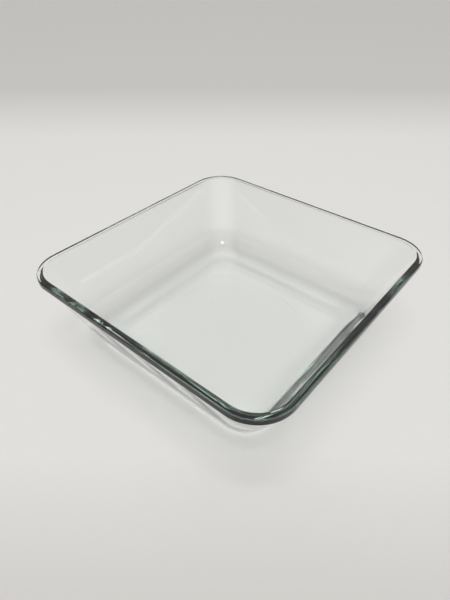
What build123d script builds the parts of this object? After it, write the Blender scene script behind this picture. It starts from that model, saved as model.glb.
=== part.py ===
"""A square dish of clear pressed glass: one moulded piece, open at the top.

Four flat walls flare outwards and meet in rounded corners. A wide cove joins them to a flat floor, and the
mouth ends in a low upright bead, with a shallow ledge round its top. Millimetres, +Z up, with the origin
under the middle of the base, on the plane that the dish stands on.
"""

from build123d import *

import math
import os

# Driving dimensions
MOUTH_WIDTH = 203.0  # across the outside of the bead, side to side
MOUTH_CORNER_R = 25.4  # outside corner of the bead, seen from above
HEIGHT = 65.7
WALL = 4.7  # thickness of the walls, square to their faces
FLOOR = 8.7  # thickness of the floor
FLARE_DEG = 23.0  # lean of the walls away from upright

# The flat parts of the floor, inside and underneath
INSIDE_FLAT_WIDTH = 112.0
INSIDE_FLAT_CORNER_R = 17.0
UNDER_FLAT_WIDTH = 131.0
UNDER_FLAT_CORNER_R = 20.5

# Corners of the walls where they run into the coves
INSIDE_WALL_CORNER_R = 18.5
OUTSIDE_WALL_CORNER_R = 22.0
COVE_SECTIONS = 9  # level sections that each cove is drawn through

# The bead round the mouth
BEAD_WIDTH = 4.4
BEAD_HEIGHT = 4.2  # of its upright outer face, with the ledge and the round above it
BEAD_SHOULDER = 1.6  # height of the slope from the wall out to the upright face
BEAD_TOP_R = 0.8
BEAD_SHOULDER_R = 0.5

# The ledge round the top of the bead: its outer part sits a little lower than its inner part
LEDGE_WIDTH = 3.0
LEDGE_DROP = 0.4
LEDGE_R = 0.2

CLOSE = 0.01  # heights this near each other count as one level

# Sizes that follow
MOUTH_HALF = MOUTH_WIDTH / 2
FLARE = math.tan(math.radians(FLARE_DEG))  # how far a wall leans out for each millimetre of height
WALL_ACROSS = WALL / math.cos(math.radians(FLARE_DEG))  # thickness of a wall in a level section
LEDGE_Z = HEIGHT - LEDGE_DROP
SHOULDER_Z = HEIGHT - BEAD_HEIGHT
BEAD_FOOT_Z = SHOULDER_Z - BEAD_SHOULDER


def inside_half(z):
    """Half the width between the inner faces of two facing walls at this height."""
    return MOUTH_HALF - BEAD_WIDTH - (HEIGHT - z) * FLARE


def outside_half(z):
    return inside_half(z) + WALL_ACROSS


def rounded_square(half, corner_r, z):
    """A level square section with round corners."""
    return Pos(0, 0, z) * RectangleRounded(2 * half, 2 * half, corner_r)


def flared_block(flat_z, flat_half, flat_r, wall_half, wall_r, top):
    """A solid block with a flat base, a cove all round it and flat walls that lean out up to the top section.

    wall_half is where the wall's face would meet the base's plane without the cove, and wall_r is the corner
    radius where the wall starts. The cove is an arc that leaves the base level and meets the wall in line.
    """
    turn = math.radians(90 - FLARE_DEG)
    radius = (wall_half - flat_half) / math.tan(turn / 2)
    cove = []
    for index in range(COVE_SECTIONS):
        share = index / (COVE_SECTIONS - 1)
        half = flat_half + radius * math.sin(turn * share)
        z = flat_z + radius * (1 - math.cos(turn * share))
        cove.append(rounded_square(half, flat_r + (wall_r - flat_r) * share, z))
    return loft(cove) + loft([cove[-1], top], ruled=True)


def hollow():
    """The space inside the dish."""
    mouth = rounded_square(inside_half(HEIGHT), MOUTH_CORNER_R - BEAD_WIDTH, HEIGHT)
    return flared_block(
        FLOOR,
        INSIDE_FLAT_WIDTH / 2,
        INSIDE_FLAT_CORNER_R,
        inside_half(FLOOR),
        INSIDE_WALL_CORNER_R,
        mouth,
    )


def outside():
    """The dish as a filled block, with the bead round its top."""
    foot_half = outside_half(BEAD_FOOT_Z)
    bead_foot = rounded_square(foot_half, MOUTH_CORNER_R - (MOUTH_HALF - foot_half), BEAD_FOOT_Z)
    body = flared_block(
        0,
        UNDER_FLAT_WIDTH / 2,
        UNDER_FLAT_CORNER_R,
        outside_half(0),
        OUTSIDE_WALL_CORNER_R,
        bead_foot,
    )
    bead_outline = rounded_square(MOUTH_HALF, MOUTH_CORNER_R, SHOULDER_Z)
    shoulder = loft([bead_foot, bead_outline], ruled=True)
    bead = extrude(bead_outline, LEDGE_Z - SHOULDER_Z)
    inner_top = rounded_square(MOUTH_HALF - LEDGE_WIDTH, MOUTH_CORNER_R - LEDGE_WIDTH, LEDGE_Z)
    return body + shoulder + bead + extrude(inner_top, LEDGE_DROP)


def outline_at(solid, z):
    """The edges round the outside of the solid's level face at this height."""
    level_faces = solid.faces().filter_by(Axis.Z).filter_by_position(Axis.Z, z - CLOSE, z + CLOSE)
    return level_faces[0].outer_wire().edges()


def glass_dish():
    dish = outside() - hollow()
    top = dish.faces().sort_by(Axis.Z)[-1]
    dish = fillet(top.inner_wires()[0].edges(), BEAD_TOP_R)
    dish = fillet(outline_at(dish, HEIGHT), LEDGE_R)
    dish = fillet(outline_at(dish, LEDGE_Z), BEAD_TOP_R)
    shoulder_edges = dish.edges().filter_by_position(Axis.Z, SHOULDER_Z, SHOULDER_Z)
    return fillet(shoulder_edges, BEAD_SHOULDER_R)


os.makedirs("parts", exist_ok=True)
export_step(glass_dish(), "parts/glass_dish.step")
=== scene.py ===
"""The looks of a square dish of clear pressed glass, on pale paper in soft light.

Metres, in the CAD's frame.
"""

import math

import bpy
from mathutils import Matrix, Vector


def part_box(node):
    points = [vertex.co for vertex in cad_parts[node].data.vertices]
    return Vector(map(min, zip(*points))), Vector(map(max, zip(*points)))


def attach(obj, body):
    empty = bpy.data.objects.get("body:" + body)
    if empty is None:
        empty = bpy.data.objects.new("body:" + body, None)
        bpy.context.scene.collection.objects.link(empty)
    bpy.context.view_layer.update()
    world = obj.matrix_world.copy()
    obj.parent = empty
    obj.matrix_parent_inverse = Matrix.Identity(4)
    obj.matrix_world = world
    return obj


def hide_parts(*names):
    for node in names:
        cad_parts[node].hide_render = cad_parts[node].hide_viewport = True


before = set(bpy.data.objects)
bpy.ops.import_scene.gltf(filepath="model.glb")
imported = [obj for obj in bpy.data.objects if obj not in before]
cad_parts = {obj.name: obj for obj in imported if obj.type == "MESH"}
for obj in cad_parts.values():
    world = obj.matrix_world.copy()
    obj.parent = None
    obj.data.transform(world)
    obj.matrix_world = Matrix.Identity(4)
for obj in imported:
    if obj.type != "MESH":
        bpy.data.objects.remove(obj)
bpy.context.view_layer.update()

# The dish, from its CAD box and the part's driving dimensions
low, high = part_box("glass_dish")
MOUTH_HALF = high.x
HEIGHT = high.z
MOUTH_CORNER_R = 0.0254
WALL = 0.0047
FLOOR = 0.0087
FLARE = math.radians(23)
INSIDE_FLAT_HALF = 0.056
INSIDE_FLAT_R = 0.017
INSIDE_WALL_R = 0.0185
UNDER_FLAT_HALF = 0.0655
UNDER_FLAT_R = 0.0205
OUTSIDE_WALL_R = 0.022
BEAD_WIDTH = 0.0044
BEAD_HEIGHT = 0.0042
BEAD_SHOULDER = 0.0016
BEAD_TOP_R = 0.0008
BEAD_SHOULDER_R = 0.0005
LEDGE_WIDTH = 0.003
LEDGE_DROP = 0.0004
LEDGE_R = 0.0002

# The slight swell of the pressed inner face
SWELL = 0.00007
SWELL_TURN = 0.01  # over this height the swell turns from up and down to sideways
SWELL_BELOW_RIM = 0.008  # the swell stops this far under the rim

# How finely the surface is divided
ARC_STEPS = 24  # round each corner, seen from above
SIDE_STEPS = 24  # along each straight side
RING = 4 * (ARC_STEPS + SIDE_STEPS)
COVE_STEPS = 20
ROUND_STEPS = 9  # round the top edges of the bead
EDGE_STEPS = 4  # round the small edges of the bead
LONGEST_STEP = 0.004  # between two level sections
HOLD = 0.00015  # a section this near each end of a long gap keeps the shading of flat faces flat
SAME_POINT = 1e-6

# Brightness of the sky against the height of a direction, then against its nearness to an azimuth in degrees
OVERHEAD = [(0.0, 0.2), (0.55, 0.42), (0.84, 0.66), (0.94, 1.45)]
SIDES = [
    (39.9, [(0.3, 0.0), (0.9, 0.8)]),
    (219.9, [(0.5, 0.0), (0.95, 0.5)]),
]

# The paper's painted shade: how pale it is against a place from behind the dish, at 0, to in front of it, at
# 1; the low ends paint shade onto the paper well behind and well in front of the dish
PAINTED_SHADE_STOPS = [(0.07, 0.35), (0.33, 1.0), (0.9, 1.0), (1.0, 0.45)]
PAPER_REACH = (-0.7, 0.2)  # the two places, along the camera's azimuth
PAPER_PALE = (0.77, 0.76, 0.74, 1)
# the colour of the painted shade on the paper
PAPER_PAINTED_SHADE_COLOUR = (0.52, 0.50, 0.475, 1)
PAPER_HALF = 4.0
PAPER_Z = -0.0003

LAMP_SIZE = (0.45, 0.08)
LAMP_ENERGY = 2.2
LAMP_PLACE = Vector((0.12, -0.14, 1.3))

# The camera, in half-widths of the dish's mouth
CAMERA_LENS = 27.774
CAMERA_AZIMUTH = math.radians(39.9)
CAMERA_ELEVATION = math.radians(40.0)
CAMERA_DISTANCE = 2.819
CAMERA_TARGET = Vector((0.2325, -0.3734, 0))


def mix(first, second, share):
    return first + (second - first) * share


def inside_half(z):
    """Half the width between the inner faces of two facing walls at this height."""
    return MOUTH_HALF - BEAD_WIDTH - (HEIGHT - z) * math.tan(FLARE)


def outside_half(z):
    return inside_half(z) + WALL / math.cos(FLARE)


def ring_point(half, corner_r, place):
    """A point of a rounded square. place runs round it from 0 to RING, from the middle of one corner."""
    side, along = divmod(place % RING, ARC_STEPS + SIDE_STEPS)
    straight = half - corner_r
    past_arc = along - ARC_STEPS / 2
    past_side = past_arc - SIDE_STEPS
    if past_arc < 0:
        angle = math.radians(90 * past_arc / ARC_STEPS)
        spot = Vector((straight + corner_r * math.cos(angle), -straight + corner_r * math.sin(angle)))
    elif past_side <= 0:
        spot = Vector((half, mix(-straight, straight, past_arc / SIDE_STEPS)))
    else:
        angle = math.radians(90 * past_side / ARC_STEPS)
        spot = Vector((straight + corner_r * math.cos(angle), straight + corner_r * math.sin(angle)))
    turn = math.radians(90 * side)
    x = spot.x * math.cos(turn) - spot.y * math.sin(turn)
    y = spot.x * math.sin(turn) + spot.y * math.cos(turn)
    return (x, y)


def cove(flat_half, flat_z, wall_half, flat_r, wall_r):
    """The level sections of the arc from a flat to a leaning wall, each (half, corner_r, z).

    wall_half is where the wall's face would meet the flat's plane without the arc.
    """
    turn = math.pi / 2 - FLARE
    radius = (wall_half - flat_half) / math.tan(turn / 2)
    rings = []
    for step in range(COVE_STEPS + 1):
        share = step / COVE_STEPS
        half = flat_half + radius * math.sin(turn * share)
        z = flat_z + radius * (1 - math.cos(turn * share))
        rings.append((half, mix(flat_r, wall_r, share), z))
    return rings


def rounded_corner(before, corner, after, radius, steps):
    """The (half, z) points of an arc that rounds a corner of the profile."""
    here = Vector(corner)
    back = (Vector(before) - here).normalized()
    onward = (Vector(after) - here).normalized()
    opening = back.angle(onward)
    reach = radius / math.tan(opening / 2)
    centre = here + (back + onward).normalized() * (radius / math.sin(opening / 2))
    start = here + back * reach - centre
    end = here + onward * reach - centre
    sweep = start.angle(end)
    arc = []
    for step in range(steps + 1):
        share = step / steps
        spoke = math.sin(sweep * (1 - share)) * start + math.sin(sweep * share) * end
        arc.append(centre + spoke / math.sin(sweep))
    return arc


def bead(inner_wall, outer_wall):
    """The level sections over the bead, from a point of the inner wall to a point of the outer wall."""
    ledge_half = MOUTH_HALF - LEDGE_WIDTH
    ledge_z = HEIGHT - LEDGE_DROP
    shoulder_z = HEIGHT - BEAD_HEIGHT
    foot_z = shoulder_z - BEAD_SHOULDER
    inner_top = (inside_half(HEIGHT), HEIGHT)
    ledge_top = (ledge_half, HEIGHT)
    ledge_foot = (ledge_half, ledge_z)
    outer_top = (MOUTH_HALF, ledge_z)
    shoulder = (MOUTH_HALF, shoulder_z)
    foot = (outside_half(foot_z), foot_z)
    path = rounded_corner(inner_wall, inner_top, ledge_top, BEAD_TOP_R, ROUND_STEPS)
    path += rounded_corner(inner_top, ledge_top, ledge_foot, LEDGE_R, EDGE_STEPS)
    path += rounded_corner(ledge_top, ledge_foot, outer_top, LEDGE_R, EDGE_STEPS)
    path += rounded_corner(ledge_foot, outer_top, shoulder, BEAD_TOP_R, ROUND_STEPS)
    path += rounded_corner(outer_top, shoulder, foot, BEAD_SHOULDER_R, EDGE_STEPS)
    path += rounded_corner(shoulder, foot, outer_wall, BEAD_SHOULDER_R, EDGE_STEPS)
    return [(half, MOUTH_CORNER_R - (MOUTH_HALF - half), z) for half, z in path]


def filled(rings):
    """The same sections with repeats left out and long gaps divided."""
    dense = [rings[0]]
    for ring in rings[1:]:
        last = dense[-1]
        gap = math.hypot(ring[0] - last[0], ring[2] - last[2])
        if gap < SAME_POINT:
            continue
        parts = max(1, round(gap / LONGEST_STEP))
        shares = [part / parts for part in range(1, parts + 1)]
        if gap > 3 * HOLD:
            shares = sorted([*shares, HOLD / gap, 1 - HOLD / gap])
        for share in shares:
            dense.append(tuple(mix(p, q, share) for p, q in zip(last, ring)))
    return dense


def dish_sections():
    """The level sections from the floor inside, up over the bead and down to the base."""
    inner = cove(INSIDE_FLAT_HALF, FLOOR, inside_half(FLOOR), INSIDE_FLAT_R, INSIDE_WALL_R)
    outer = cove(UNDER_FLAT_HALF, 0, outside_half(0), UNDER_FLAT_R, OUTSIDE_WALL_R)
    inner_wall = (inner[-1][0], inner[-1][2])
    outer_wall = (outer[-1][0], outer[-1][2])
    return filled(inner + bead(inner_wall, outer_wall) + outer[::-1])


def swelled(x, y, z):
    """Where a point of the inner face goes: up or down a little on the floor, sideways on the walls."""
    swell = SWELL * (math.sin(170 * x + 90 * y + 150 * z) + math.sin(60 * x - 210 * y - 130 * z + 0.7))
    across = min(1, (z - FLOOR) / SWELL_TURN)
    fade = min(1, max(0, (HEIGHT - SWELL_BELOW_RIM - z) / SWELL_BELOW_RIM))
    return (x + swell * across * fade, y - swell * across * fade, z + swell * (1 - across))


def flat_place(i, j):
    """Where a grid point lies round its own square of the grid, in the measure of ring_point."""
    level = max(abs(i), abs(j))
    if level == 0:
        return 0
    if i == level and j > -level:
        quarters = (j + level) / (2 * level)
    elif j == level:
        quarters = 1 + (level - i) / (2 * level)
    elif i == -level:
        quarters = 2 + (level - j) / (2 * level)
    else:
        quarters = 3 + (i + level) / (2 * level)
    return quarters * RING / 4 % RING


def add_flat(points, faces, section, first, upward):
    """Fills a section with a grid of quads. first is the number of the section's first point."""
    half, corner_r, z = section
    steps = RING // 8
    number = {}
    for i in range(-steps, steps + 1):
        for j in range(-steps, steps + 1):
            place = flat_place(i, j)
            share = max(abs(i), abs(j)) / steps
            if share == 1:
                number[i, j] = first + round(place) % RING
                continue
            number[i, j] = len(points)
            points.append((*ring_point(half * share, corner_r * share, place), z))
    for i in range(-steps, steps):
        for j in range(-steps, steps):
            quad = (number[i, j], number[i + 1, j], number[i + 1, j + 1], number[i, j + 1])
            faces.append(quad if upward else quad[::-1])


def dish_mesh():
    rings = dish_sections()
    points, faces = [], []
    for half, corner_r, z in rings:
        points += [(*ring_point(half, corner_r, place), z) for place in range(RING)]
    for row in range(len(rings) - 1):
        for place in range(RING):
            here = row * RING + place
            beside = row * RING + (place + 1) % RING
            faces.append((here, here + RING, beside + RING, beside))
    add_flat(points, faces, rings[-1], (len(rings) - 1) * RING, upward=False)
    outer_points = len(points)
    add_flat(points, faces, rings[0], 0, upward=True)
    top_row = max(range(len(rings)), key=lambda row: rings[row][2])
    inner_face = [*range(top_row * RING), *range(outer_points, len(points))]
    for index in inner_face:
        points[index] = swelled(*points[index])
    mesh = bpy.data.meshes.new("glass_dish")
    mesh.from_pydata(points, [], faces)
    mesh.polygons.foreach_set("use_smooth", [True] * len(mesh.polygons))
    mesh.update()
    return mesh


def new_material(name):
    """A material with its node tree's nodes, links and main shader."""
    material = bpy.data.materials.new(name)
    material.use_nodes = True
    nodes = material.node_tree.nodes
    return material, nodes, material.node_tree.links, nodes["Principled BSDF"]


def noise(nodes, links, scale, detail):
    """Noise laid out in the object's own coordinates."""
    coordinates = nodes.new("ShaderNodeTexCoord")
    texture = nodes.new("ShaderNodeTexNoise")
    texture.inputs["Scale"].default_value = scale
    texture.inputs["Detail"].default_value = detail
    links.new(coordinates.outputs["Object"], texture.inputs["Vector"])
    return texture.outputs["Fac"]


def add_bump(nodes, links, shader, height, strength, distance):
    bump = nodes.new("ShaderNodeBump")
    bump.inputs["Strength"].default_value = strength
    bump.inputs["Distance"].default_value = distance
    links.new(height, bump.inputs["Height"])
    links.new(bump.outputs["Normal"], shader.inputs["Normal"])


def map_range(nodes, links, value, source, result):
    """The value moved from the source range to the result range, and kept inside it."""
    mapped = nodes.new("ShaderNodeMapRange")
    mapped.inputs["From Min"].default_value = source[0]
    mapped.inputs["From Max"].default_value = source[1]
    mapped.inputs["To Min"].default_value = result[0]
    mapped.inputs["To Max"].default_value = result[1]
    links.new(value, mapped.inputs["Value"])
    return mapped.outputs["Result"]


def glass_material():
    """Glass that is faintly green through its depth, polished, with a very slightly uneven skin."""
    material, nodes, links, shader = new_material("clear_glass")
    shader.inputs["Base Color"].default_value = (1, 1, 1, 1)
    shader.inputs["IOR"].default_value = 1.52
    shader.inputs["Transmission Weight"].default_value = 1.0
    smears = map_range(nodes, links, noise(nodes, links, 45, 4), (0.5, 0.75), (0.0, 0.02))
    links.new(smears, shader.inputs["Roughness"])
    add_bump(nodes, links, shader, noise(nodes, links, 130, 1), 0.25, 0.00003)
    absorption = nodes.new("ShaderNodeVolumeAbsorption")
    absorption.inputs["Color"].default_value = (0.3, 0.7, 0.52, 1)
    absorption.inputs["Density"].default_value = 4.2
    links.new(absorption.outputs["Volume"], nodes["Material Output"].inputs["Volume"])
    return material


def paper_material():
    """Pale paper with a fine tooth, and painted shade that makes it a little dimmer well in front of the
    dish and well behind it.
    """
    material, nodes, links, shader = new_material("paper")
    shader.inputs["Roughness"].default_value = 0.9
    coordinates = nodes.new("ShaderNodeTexCoord")
    forward = nodes.new("ShaderNodeVectorMath")
    forward.operation = "DOT_PRODUCT"
    forward.inputs[1].default_value = (math.sin(CAMERA_AZIMUTH), -math.cos(CAMERA_AZIMUTH), 0)
    links.new(coordinates.outputs["Object"], forward.inputs[0])
    place = map_range(nodes, links, forward.outputs["Value"], PAPER_REACH, (0.0, 1.0))
    # painted shade: this ramp darkens the paper's colour well behind and well in front of the dish
    light = brightness_ramp(nodes, PAINTED_SHADE_STOPS)
    links.new(place, light.inputs["Fac"])
    colour = nodes.new("ShaderNodeMix")
    colour.data_type = "RGBA"
    colour.inputs["A"].default_value = PAPER_PAINTED_SHADE_COLOUR
    colour.inputs["B"].default_value = PAPER_PALE
    links.new(light.outputs["Color"], colour.inputs["Factor"])
    links.new(colour.outputs["Result"], shader.inputs["Base Color"])
    add_bump(nodes, links, shader, noise(nodes, links, 1500, 2), 0.2, 0.00005)
    return material


def add_object(name, mesh):
    piece = bpy.data.objects.new(name, mesh)
    bpy.context.scene.collection.objects.link(piece)
    return piece


def add_dish():
    dish = add_object("dish", dish_mesh())
    dish.data.materials.append(glass_material())
    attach(dish, "root")
    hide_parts("glass_dish")


def add_floor():
    half, z = PAPER_HALF, PAPER_Z
    corners = [(-half, -half, z), (half, -half, z), (half, half, z), (-half, half, z)]
    mesh = bpy.data.meshes.new("floor")
    mesh.from_pydata(corners, [], [(0, 1, 2, 3)])
    mesh.materials.append(paper_material())
    add_object("floor", mesh)


def brightness_ramp(nodes, stops):
    ramp = nodes.new("ShaderNodeValToRGB")
    for _ in stops[2:]:
        ramp.color_ramp.elements.new(0.5)
    for element, (position, level) in zip(ramp.color_ramp.elements, stops):
        element.position = position
        element.color = (level, level, level, 1)
    return ramp


def add_world():
    """A soft room: bright overhead and dim low down, with two brighter sides."""
    world = bpy.data.worlds.new("studio")
    world.use_nodes = True
    nodes, links = world.node_tree.nodes, world.node_tree.links
    direction = nodes.new("ShaderNodeTexCoord").outputs["Generated"]
    split = nodes.new("ShaderNodeSeparateXYZ")
    links.new(direction, split.inputs["Vector"])
    overhead = brightness_ramp(nodes, OVERHEAD)
    links.new(split.outputs["Z"], overhead.inputs["Fac"])
    level = overhead.outputs["Color"]
    for azimuth, stops in SIDES:
        angle = math.radians(azimuth)
        nearness = nodes.new("ShaderNodeVectorMath")
        nearness.operation = "DOT_PRODUCT"
        nearness.inputs[1].default_value = (math.sin(angle), -math.cos(angle), 0)
        links.new(direction, nearness.inputs[0])
        side = brightness_ramp(nodes, stops)
        links.new(nearness.outputs["Value"], side.inputs["Fac"])
        total = nodes.new("ShaderNodeMix")
        total.data_type = "RGBA"
        total.blend_type = "ADD"
        total.inputs["Factor"].default_value = 1
        links.new(level, total.inputs["A"])
        links.new(side.outputs["Color"], total.inputs["B"])
        level = total.outputs["Result"]
    links.new(level, nodes["Background"].inputs["Color"])
    bpy.context.scene.world = world


def add_lamp():
    """A long lamp overhead, level with the camera's view, seen as short bright marks in the coves."""
    light = bpy.data.lights.new("lamp", "AREA")
    light.shape = "RECTANGLE"
    light.size = LAMP_SIZE[0]
    light.size_y = LAMP_SIZE[1]
    light.energy = LAMP_ENERGY
    lamp = add_object("lamp", light)
    lamp.location = LAMP_PLACE
    lamp.rotation_euler = (0, 0, CAMERA_AZIMUTH)


def add_camera():
    lens = bpy.data.cameras.new("camera")
    lens.sensor_width = 36
    lens.lens = CAMERA_LENS
    lens.clip_start = 0.01
    level = math.cos(CAMERA_ELEVATION)
    sideways = math.sin(CAMERA_AZIMUTH) * level
    forwards = -math.cos(CAMERA_AZIMUTH) * level
    back = Vector((sideways, forwards, math.sin(CAMERA_ELEVATION)))
    camera = add_object("camera", lens)
    camera.location = (CAMERA_TARGET + back * CAMERA_DISTANCE) * MOUTH_HALF + Vector((0, 0, HEIGHT))
    camera.rotation_euler = (-back).to_track_quat("-Z", "Y").to_euler()
    bpy.context.scene.camera = camera


def set_light_paths():
    """Lets light through the glass many times, unblurred, so the paper stays lit.

    Few reflections are followed inside the glass, which keeps the rim dark.
    """
    scene = bpy.context.scene
    scene.view_settings.view_transform = "Standard"
    scene.cycles.max_bounces = 48
    scene.cycles.transmission_bounces = 24
    scene.cycles.glossy_bounces = 5
    scene.cycles.diffuse_bounces = 4
    scene.cycles.blur_glossy = 0.0


add_dish()
add_floor()
add_world()
add_lamp()
add_camera()
set_light_paths()
